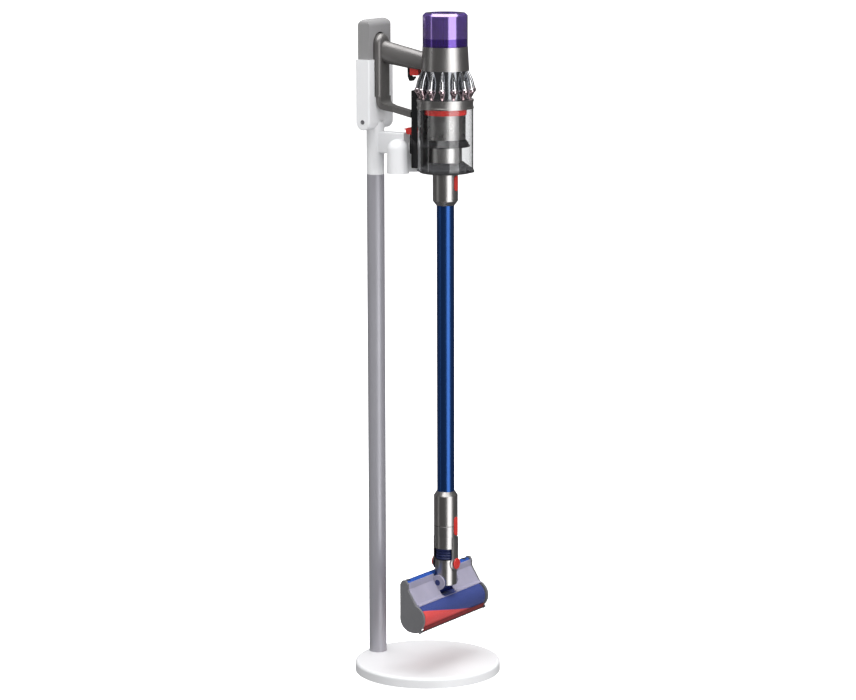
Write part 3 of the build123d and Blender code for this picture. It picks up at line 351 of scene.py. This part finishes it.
milky_clear = Finish("milky_clear", (0.50, 0.48, 0.59), roughness=0.22)
milky_clear.mottle(26, 0.05).polish(30, 0.06).grain(220, 0.0002)
milky_clear.set(Transmission_Weight=0.45, IOR=1.49).lets_light_in((0.93, 0.93, 0.96))

purple_clear = Finish("purple_clear", (0.22, 0.12, 0.55), metallic=0.5, roughness=0.13)
purple_clear.fade_up(FILTER_DEEP, FILTER_PALE, (0.50, 0.36, 0.78))
purple_clear.polish(30, 0.02).grain(90, 0.00002)
purple_clear.set(Transmission_Weight=0.9, IOR=1.5).lets_light_in((0.8, 0.7, 0.95))

filter_paper = Finish("filter_paper", (0.36, 0.27, 0.60), roughness=0.75)
filter_paper.mottle(120, 0.08).polish(90, 0.08).grain(1500, 0.0001)

blue_clear = Finish("blue_clear", (0.05, 0.16, 0.62), roughness=0.12)
blue_clear.mottle(40, 0.06).polish(40, 0.03).grain(150, 0.00002)
blue_clear.set(Transmission_Weight=0.5, IOR=1.45).lets_light_in((0.3, 0.4, 0.85))

mesh_steel = Finish("mesh_steel", (0.56, 0.55, 0.54), metallic=1.0, roughness=0.3)
mesh_steel.perforate(SHROUD_X, 0.0, SHROUD_R, SHROUD_PITCH)

roller_pile = Finish("roller_pile", (0.72, 0.055, 0.055), roughness=0.85)
roller_pile.helix_halves(ROLLER_X, ROLLER_Z, (0.016, 0.038, 0.215)).grain(1900, 0.0005)
roller_pile.set(Sheen_Weight=0.12, Sheen_Roughness=0.5)

navy_rubber = Finish("navy_rubber", (0.008, 0.016, 0.085), roughness=0.42)
navy_rubber.mottle(50, 0.1).polish(60, 0.06).grain(1800, 0.00005)

release_latch = Finish("release_latch", (0.60, 0.032, 0.026), roughness=0.28)
release_latch.red_above(LATCH_RED_FROM, (0.014, 0.014, 0.015))
release_latch.polish(90, 0.05).grain(2000, 0.00003)

collar_satin = Finish("collar_satin", (0.60, 0.585, 0.575), metallic=1.0, roughness=0.30)
collar_satin.seam_at(COLLAR_SEAM, COLLAR_SEAM_W)
collar_satin.polish(35, 0.03, (1, 1, 0.3)).grain(2600, 0.00002)
collar_satin.set(Anisotropic=0.35)

wear("base_plate", "column", "tool_holder", "dock_housing", finish=white_moulding)
wear("pole", finish=pole_lacquer)
wear("base_weight", finish=cast_weight)
wear("dock_insert", finish=dock_grey)
wear("housing_screws", finish=screw_dark)
wear("motor_bearings", "motor_shaft", "door_hinge_pin", finish=plated_steel)
wear("charge_inlet", "bin_rail", "shroud_skirt", "trigger_guard", finish=gloss_black)
wear("motor_housing", "cyclone_band", "inlet_duct", "wand_top_collar", "neck_yoke", "neck_tube",
     finish=silver_satin)
wear("wand_end_collar", finish=collar_satin)
wear("display_column", "grip_near", "grip_far", "battery_case", "handle_strut", finish=gunmetal)
wear("display_window", finish=display_glass)
wear("stator", finish=copper_windings)
wear("cyclone_body", finish=chrome_smoked)
wear("cyclone_hoops", "cyclone_cones", finish=chrome_rose)
wear("bin_release", finish=release_latch)
wear("shroud_collar", "trigger", "wand_button", "head_button", "pivot_caps",
     finish=signal_red)
wear("shroud", finish=mesh_steel)
wear("battery_cells", finish=shrink_wrap)
wear("bin_cylinder", finish=clear_wall)
wear("bin_door", finish=smoked_clear)
wear("head_hood", finish=milky_clear)
wear("filter_shell", finish=purple_clear)
wear("filter_pleats", finish=filter_paper)
wear("impeller", "mode_button", "head_frame", "roller_motor", "roller_core", "wheel_near",
     "wheel_far", finish=dark_moulding)
wear("wand_tube", finish=blue_anodised)
wear("elbow_drum", finish=navy_moulding)
wear("rear_bar", finish=blue_clear)
wear("end_cap_near", "end_cap_far", finish=cap_grey)


# ---- modelled pieces ------------------------------------------------------------------------
def choose(piece, kind, test):
    """Selects the verts, edges or faces whose middle passes the test, in edit mode."""
    bpy.ops.mesh.select_all(action="DESELECT")
    work = bmesh.from_edit_mesh(piece.data)
    for item in getattr(work, kind):
        if kind == "verts":
            middle = item.co
        elif kind == "edges":
            middle = (item.verts[0].co + item.verts[1].co) / 2
        else:
            middle = item.calc_center_median()
        if test(middle):
            item.select_set(True)
    work.select_flush(True)
    bmesh.update_edit_mesh(piece.data)


def named(name):
    """Names the primitive just added and applies its place and size to its mesh."""
    piece = bpy.context.object
    piece.name = name
    bpy.ops.object.transform_apply(location=True, rotation=True, scale=True)
    return piece


def block(name, centre, size):
    """Plain block to be shaped further."""
    bpy.ops.object.select_all(action="DESELECT")
    bpy.ops.mesh.primitive_cube_add(size=1, location=centre, scale=size)
    return named(name)


def circle(name, sides, radius, centre):
    """Open ring of verts to be drawn up."""
    bpy.ops.object.select_all(action="DESELECT")
    bpy.ops.mesh.primitive_circle_add(vertices=sides, radius=radius, location=centre)
    return named(name)


def stacked(name, sides, rings, centre=(0.0, 0.0)):
    """Round piece drawn up ring by ring from a circle; each ring is its radius and its height."""
    x, y = centre
    radius, height = rings[0]
    piece = circle(name, sides, radius, (x, y, height))
    bpy.ops.object.mode_set(mode="EDIT")
    bpy.ops.mesh.select_mode(type="VERT")
    bpy.ops.mesh.select_all(action="SELECT")
    for next_radius, next_height in rings[1:]:
        step = next_height - height
        bpy.ops.mesh.extrude_region_move(TRANSFORM_OT_translate={"value": (0, 0, step)})
        ratio = next_radius / radius
        bpy.ops.transform.resize(value=(ratio, ratio, 1), center_override=(x, y, next_height))
        radius, height = next_radius, next_height
    bpy.ops.mesh.select_all(action="SELECT")
    bpy.ops.mesh.remove_doubles(threshold=0.000005)
    bpy.ops.mesh.select_all(action="DESELECT")
    bpy.ops.mesh.select_mode(type="EDGE")
    bpy.ops.mesh.select_non_manifold()
    if any(edge.select for edge in bmesh.from_edit_mesh(piece.data).edges):
        bpy.ops.mesh.edge_face_add()
    bpy.ops.mesh.select_all(action="SELECT")
    bpy.ops.mesh.normals_make_consistent(inside=False)
    bpy.ops.object.mode_set(mode="OBJECT")
    return piece


def pick(piece):
    """Makes this piece the only selected one, and the active one."""
    bpy.ops.object.select_all(action="DESELECT")
    piece.select_set(True)
    bpy.context.view_layer.objects.active = piece


def placed(piece, turn, place):
    """Turns a finished piece about the origin, moves it, and applies both to its mesh."""
    piece.rotation_euler = turn
    piece.location = place
    pick(piece)
    bpy.ops.object.transform_apply(location=True, rotation=True, scale=True)
    return piece


def finished(piece, finish, angle):
    """Smooths all edges flatter than the angle and gives the piece its finish."""
    pick(piece)
    bpy.ops.object.shade_smooth_by_angle(angle=math.radians(angle))
    cover(piece, finish)
    return piece


def modify(piece, kind, **settings):
    """Adds a modifier and applies it at once."""
    pick(piece)
    change = piece.modifiers.new(kind.lower(), kind)
    for key, value in settings.items():
        setattr(change, key, value)
    bpy.ops.object.modifier_apply(modifier=change.name)


NAP_PITCH = 0.0017
NAP_BED = 0.0243
NAP_TIP = 0.0271
NAP_SIDES = 168
NAP_MARGIN = 0.0015       # plain edge at each end, before the first row
NAP_SHOULDER = 0.0012     # the rounding of the ends: its depth, and its middle step
NAP_STEP = 0.0004
NAP_ROUND = 0.0006


def roller_nap():
    """Woven pile round the roller's core, with loose tufts."""
    low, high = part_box("roller_sleeve")
    length = high.y - low.y
    rows = round((length - 2 * NAP_MARGIN) / NAP_PITCH)
    rings = [(NAP_BED, 0), (NAP_TIP - NAP_SHOULDER, 0), (NAP_TIP - NAP_STEP, NAP_ROUND)]
    for row in range(rows + 1):
        rings.append((NAP_TIP, NAP_MARGIN + row * (length - 2 * NAP_MARGIN) / rows))
    rings += [(NAP_TIP - NAP_STEP, length - NAP_ROUND), (NAP_TIP - NAP_SHOULDER, length),
              (NAP_BED, length), (NAP_BED, 0)]
    nap = stacked("roller_nap", NAP_SIDES, rings)
    placed(nap, (math.radians(-90), 0, 0), ((low.x + high.x) / 2, low.y, (low.z + high.z) / 2))
    pile = bpy.data.textures.new("pile", "CLOUDS")
    pile.noise_scale = 0.0022
    pile.noise_depth = 1
    modify(nap, "DISPLACE", texture=pile, texture_coords="LOCAL", strength=0.0007, mid_level=0.5)
    finished(nap, roller_pile, 60)
    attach(nap, "roller")
    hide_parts("roller_sleeve")


HOSE_WALL = 0.0012
HOSE_FOLDS = 4
FOLD_DEPTH = 0.0022
FOLD_ROUND = 0.0005


def neck_bellows():
    """Ribbed hose between the fork arms."""
    low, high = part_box("neck_hose")
    centre_x = (low.x + high.x) / 2
    reach = (high.x - low.x) / 2
    pitch = (high.z - low.z) / HOSE_FOLDS
    rings = []
    for fold in range(HOSE_FOLDS):
        base = low.z + fold * pitch
        rings += [(reach - FOLD_DEPTH, base), (reach - FOLD_ROUND, base + pitch * 0.2),
                  (reach, base + pitch * 0.35), (reach, base + pitch * 0.6),
                  (reach - FOLD_ROUND, base + pitch * 0.75)]
    rings.append((reach - FOLD_DEPTH, high.z))
    inner = [(radius - HOSE_WALL * 1.6, height) for radius, height in reversed(rings)]
    bellows = stacked("neck_bellows", 96, rings + inner + [rings[0]], (centre_x, 0.0))
    finished(bellows, navy_rubber, 50)
    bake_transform(bellows)
    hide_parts("neck_hose")


MAT_GROOVES = (0.030, 0.055, 0.080, 0.105, 0.130)
MAT_GROOVE = 0.0008       # a groove's depth, and half the width of its bed
MAT_EDGE = 0.0008
MAT_BORE = 0.010


def ribbed_mat():
    """Rubber mat under the base, with moulded grooves on its underside."""
    low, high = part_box("base_mat")
    reach = (high.x - low.x) / 2
    rings = [(MAT_BORE, high.z), (reach, high.z), (reach, low.z + MAT_EDGE),
             (reach - MAT_EDGE, low.z)]
    for groove in reversed(MAT_GROOVES):
        rings += [(groove + 2 * MAT_GROOVE, low.z), (groove + MAT_GROOVE, low.z + MAT_GROOVE),
                  (groove - MAT_GROOVE, low.z + MAT_GROOVE), (groove - 2 * MAT_GROOVE, low.z)]
    rings.append((MAT_BORE, low.z))
    mat = stacked("ribbed_mat", 144, rings)
    finished(mat, mat_rubber, 30)
    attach(mat, "stand")
    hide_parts("base_mat")


BIN_OUTER_R = 0.0565
BIN_BORE_R = 0.0543
# Painted reflection: a dark sheet inside the bin stands in for the black rail seen through the
# clear wall.
REFLECTION_SHEET_GAP = 0.0006
REFLECTION_SHEET_T = 0.0010
REFLECTION_SHEET_LOW = 1.0485
REFLECTION_SHEET_HIGH = 1.1690
REFLECTION_SHEET_HALF = math.radians(54)
REFLECTION_SHEET_SIDES = 120


def painted_rail_reflection():
    """Black sheet inside the clear bin, where the bin runs along the rail: painted reflection,
    standing in for the black rail seen through the clear wall.
    """
    low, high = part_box("bin_cylinder")
    centre_x = high.x - BIN_OUTER_R
    outer = BIN_BORE_R - REFLECTION_SHEET_GAP
    reflection_sheet = circle("painted_rail_reflection", REFLECTION_SHEET_SIDES, outer, (centre_x, 0, REFLECTION_SHEET_LOW))
    bpy.ops.object.mode_set(mode="EDIT")
    bpy.ops.mesh.select_mode(type="VERT")
    choose(reflection_sheet, "verts", lambda co: math.atan2(abs(co.y), centre_x - co.x) > REFLECTION_SHEET_HALF)
    bpy.ops.mesh.delete(type="VERT")
    bpy.ops.mesh.select_all(action="SELECT")
    rise = REFLECTION_SHEET_HIGH - REFLECTION_SHEET_LOW
    bpy.ops.mesh.extrude_region_move(TRANSFORM_OT_translate={"value": (0, 0, rise)})
    bpy.ops.mesh.select_all(action="SELECT")
    bpy.ops.mesh.normals_make_consistent(inside=False)
    bpy.ops.object.mode_set(mode="OBJECT")
    if reflection_sheet.data.polygons[0].normal.x > 0:
        reflection_sheet.data.flip_normals()
    modify(reflection_sheet, "SOLIDIFY", thickness=REFLECTION_SHEET_T, offset=-1.0)
    modify(reflection_sheet, "BEVEL", width=0.0003, segments=2, limit_method="ANGLE")
    finished(reflection_sheet, gloss_black, 30)
    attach(reflection_sheet, "bin")


LIP_X = 0.0620
LIP_LOW = 0.1150
LIP_HIGH = 0.1255
LIP_T = 0.0009
LIP_LEAN = 0.0045


def felt_lip():
    """Felt lip along the head's front strip, just clear of the roller."""
    low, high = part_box("roller_sleeve")
    length = high.y - low.y
    lip = block("felt_lip", (LIP_X, 0, (LIP_LOW + LIP_HIGH) / 2),
                (LIP_T, length, LIP_HIGH - LIP_LOW))
    bpy.ops.object.mode_set(mode="EDIT")
    bpy.ops.mesh.select_mode(type="FACE")
    choose(lip, "faces", lambda co: co.z > LIP_HIGH - 0.0001)
    bpy.ops.transform.translate(value=(LIP_LEAN, 0, 0))
    bpy.ops.mesh.inset(thickness=LIP_T * 0.25)
    bpy.ops.transform.translate(value=(LIP_LEAN * 0.1, 0, 0.0003))
    bpy.ops.object.mode_set(mode="OBJECT")
    modify(lip, "BEVEL", width=0.0002, segments=2, limit_method="ANGLE")
    finished(lip, felt_red, 30)
    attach(lip, "head")


APRON_X = 0.0173
APRON_T = 0.0012
APRON_LOW = 0.1580
APRON_HIGH = 0.1722
APRON_HALF_W = 0.1155
APRON_FOOT = (-0.0008, 0, -0.0030)


def throat_apron():
    """Apron behind the roller, from the sole plate down, that closes the suction throat."""
    apron = block("throat_apron", (APRON_X, 0, (APRON_LOW + APRON_HIGH) / 2),
                  (APRON_T, 2 * APRON_HALF_W, APRON_HIGH - APRON_LOW))
    bpy.ops.object.mode_set(mode="EDIT")
    bpy.ops.mesh.select_mode(type="FACE")
    choose(apron, "faces", lambda co: co.z < APRON_LOW + 0.0001)
    bpy.ops.mesh.extrude_region_move(TRANSFORM_OT_translate={"value": APRON_FOOT})
    bpy.ops.object.mode_set(mode="OBJECT")
    modify(apron, "BEVEL", width=0.0003, segments=2, limit_method="ANGLE")
    finished(apron, navy_moulding, 30)
    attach(apron, "head")


CAP_RINGS = ((0.0045, 0.0), (0.0045, 0.0005), (0.0041, 0.0009),
             (0.0024, 0.0009), (0.0020, 0.0003))
CAP_SEAT = 0.0001


def screw_cap(name, side):
    """Round cap with a driver recess over one of the dock's side screws."""
    low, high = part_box("dock_housing")
    screw_low, screw_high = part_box("housing_screws")
    cap = stacked(name, 48, CAP_RINGS)
    x = (screw_low.x + screw_high.x) / 2
    z = (screw_low.z + screw_high.z) / 2
    y = high.y - CAP_SEAT if side > 0 else low.y + CAP_SEAT
    placed(cap, (math.radians(-90 * side), 0, 0), (x, y, z))
    finished(cap, screw_dark, 40)
    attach(cap, "stand")


roller_nap()
screw_cap("screw_cap_near", -1)
screw_cap("screw_cap_far", 1)
throat_apron()
neck_bellows()
ribbed_mat()
painted_rail_reflection()
felt_lip()


# ---- studio ---------------------------------------------------------------------------------
VIEW_TURN = math.radians(32.785)
VIEW_RISE = math.radians(10.175)
VIEW_ROLL = math.radians(-0.135)
VIEW_DISTANCE = 6.3765
VIEW_POINT = Vector((0.00172, 0.00111, 0.67353))
LENS = 131.35
EVEN_LIGHT = 0.52
DIM_LIGHT = 0.09
LAMP_AIM = Vector((0, 0, 0.75))
FLOOR_SIDE = 80
FLOOR_DROP = 0.0005

# Each lamp's turn and rise in degrees, distance, width and height in metres, and power in watts.
LAMPS = {
    "key": (37, -2, 4.0, 3.0, 5.6, 112),
    "fill": (-75, 2, 4.5, 0.5, 5.0, 7),
    "top": (10, 84, 3.6, 4.2, 4.2, 230),
}


def direction(turn, rise):
    """From the object towards a place at this turn and rise."""
    flat = math.cos(rise)
    return Vector((math.sin(turn) * flat, -math.cos(turn) * flat, math.sin(rise)))


def looking(place, point, roll=0.0):
    """Placed there and facing a point."""
    facing = (point - place).to_track_quat("-Z", "Y").to_matrix().to_4x4()
    return Matrix.Translation(place) @ facing @ Matrix.Rotation(roll, 4, "Z")


def camera():
    data = bpy.data.cameras.new("camera")
    data.sensor_width = 36.0
    data.lens = LENS
    data.clip_end = 200.0
    eye = bpy.data.objects.new("camera", data)
    place = VIEW_POINT + direction(VIEW_TURN, VIEW_RISE) * VIEW_DISTANCE
    eye.matrix_world = looking(place, VIEW_POINT, VIEW_ROLL)
    bpy.context.scene.collection.objects.link(eye)
    bpy.context.scene.camera = eye


def softbox(name, turn, rise, distance, width, height, power):
    """Rectangular lamp; turn is counted from the camera's side, positive to its right."""
    data = bpy.data.lights.new(name, "AREA")
    data.shape = "RECTANGLE"
    data.size = width
    data.size_y = height
    data.energy = power
    lamp = bpy.data.objects.new(name, data)
    place = LAMP_AIM + direction(VIEW_TURN + math.radians(turn), math.radians(rise)) * distance
    lamp.matrix_world = looking(place, LAMP_AIM)
    bpy.context.scene.collection.objects.link(lamp)


def floor():
    bpy.ops.object.select_all(action="DESELECT")
    bpy.ops.mesh.primitive_plane_add(size=FLOOR_SIDE, location=(0, 0, -FLOOR_DROP))
    ground = bpy.context.object
    ground.name = "floor"
    pale = Finish("pale_floor", (0.90, 0.90, 0.905), roughness=0.9)
    pale.mottle(0.5, 0.004)
    pale.set(Emission_Color=(1.0, 1.0, 1.0, 1.0), Emission_Strength=0.9)
    ground.data.materials.append(pale.material)
    ground.visible_diffuse = False
    ground.visible_glossy = False
    ground.visible_transmission = False


def surroundings():
    """White backdrop, an even light for matt surfaces, and a dim one for reflections."""
    world = bpy.data.worlds.new("studio")
    bpy.context.scene.world = world
    world.use_nodes = True
    tree = world.node_tree
    path = tree.nodes.new("ShaderNodeLightPath")
    last = tree.nodes["Background"]
    last.inputs["Color"].default_value = (1.0, 1.0, 1.0, 1.0)
    last.inputs["Strength"].default_value = EVEN_LIGHT
    levels = (("Is Camera Ray", 1.0), ("Is Transmission Ray", 1.0), ("Glossy Depth", DIM_LIGHT))
    for ray, level in levels:
        shade = tree.nodes.new("ShaderNodeBackground")
        shade.inputs["Color"].default_value = (1.0, 1.0, 1.0, 1.0)
        shade.inputs["Strength"].default_value = level
        choose = tree.nodes.new("ShaderNodeMixShader")
        tree.links.new(path.outputs[ray], choose.inputs["Fac"])
        tree.links.new(last.outputs[0], choose.inputs[1])
        tree.links.new(shade.outputs[0], choose.inputs[2])
        last = choose
    tree.links.new(last.outputs[0], tree.nodes["World Output"].inputs["Surface"])


camera()
floor()
surroundings()
for lamp_name, setting in LAMPS.items():
    softbox(lamp_name, *setting)
bpy.context.scene.view_settings.view_transform = "Standard"
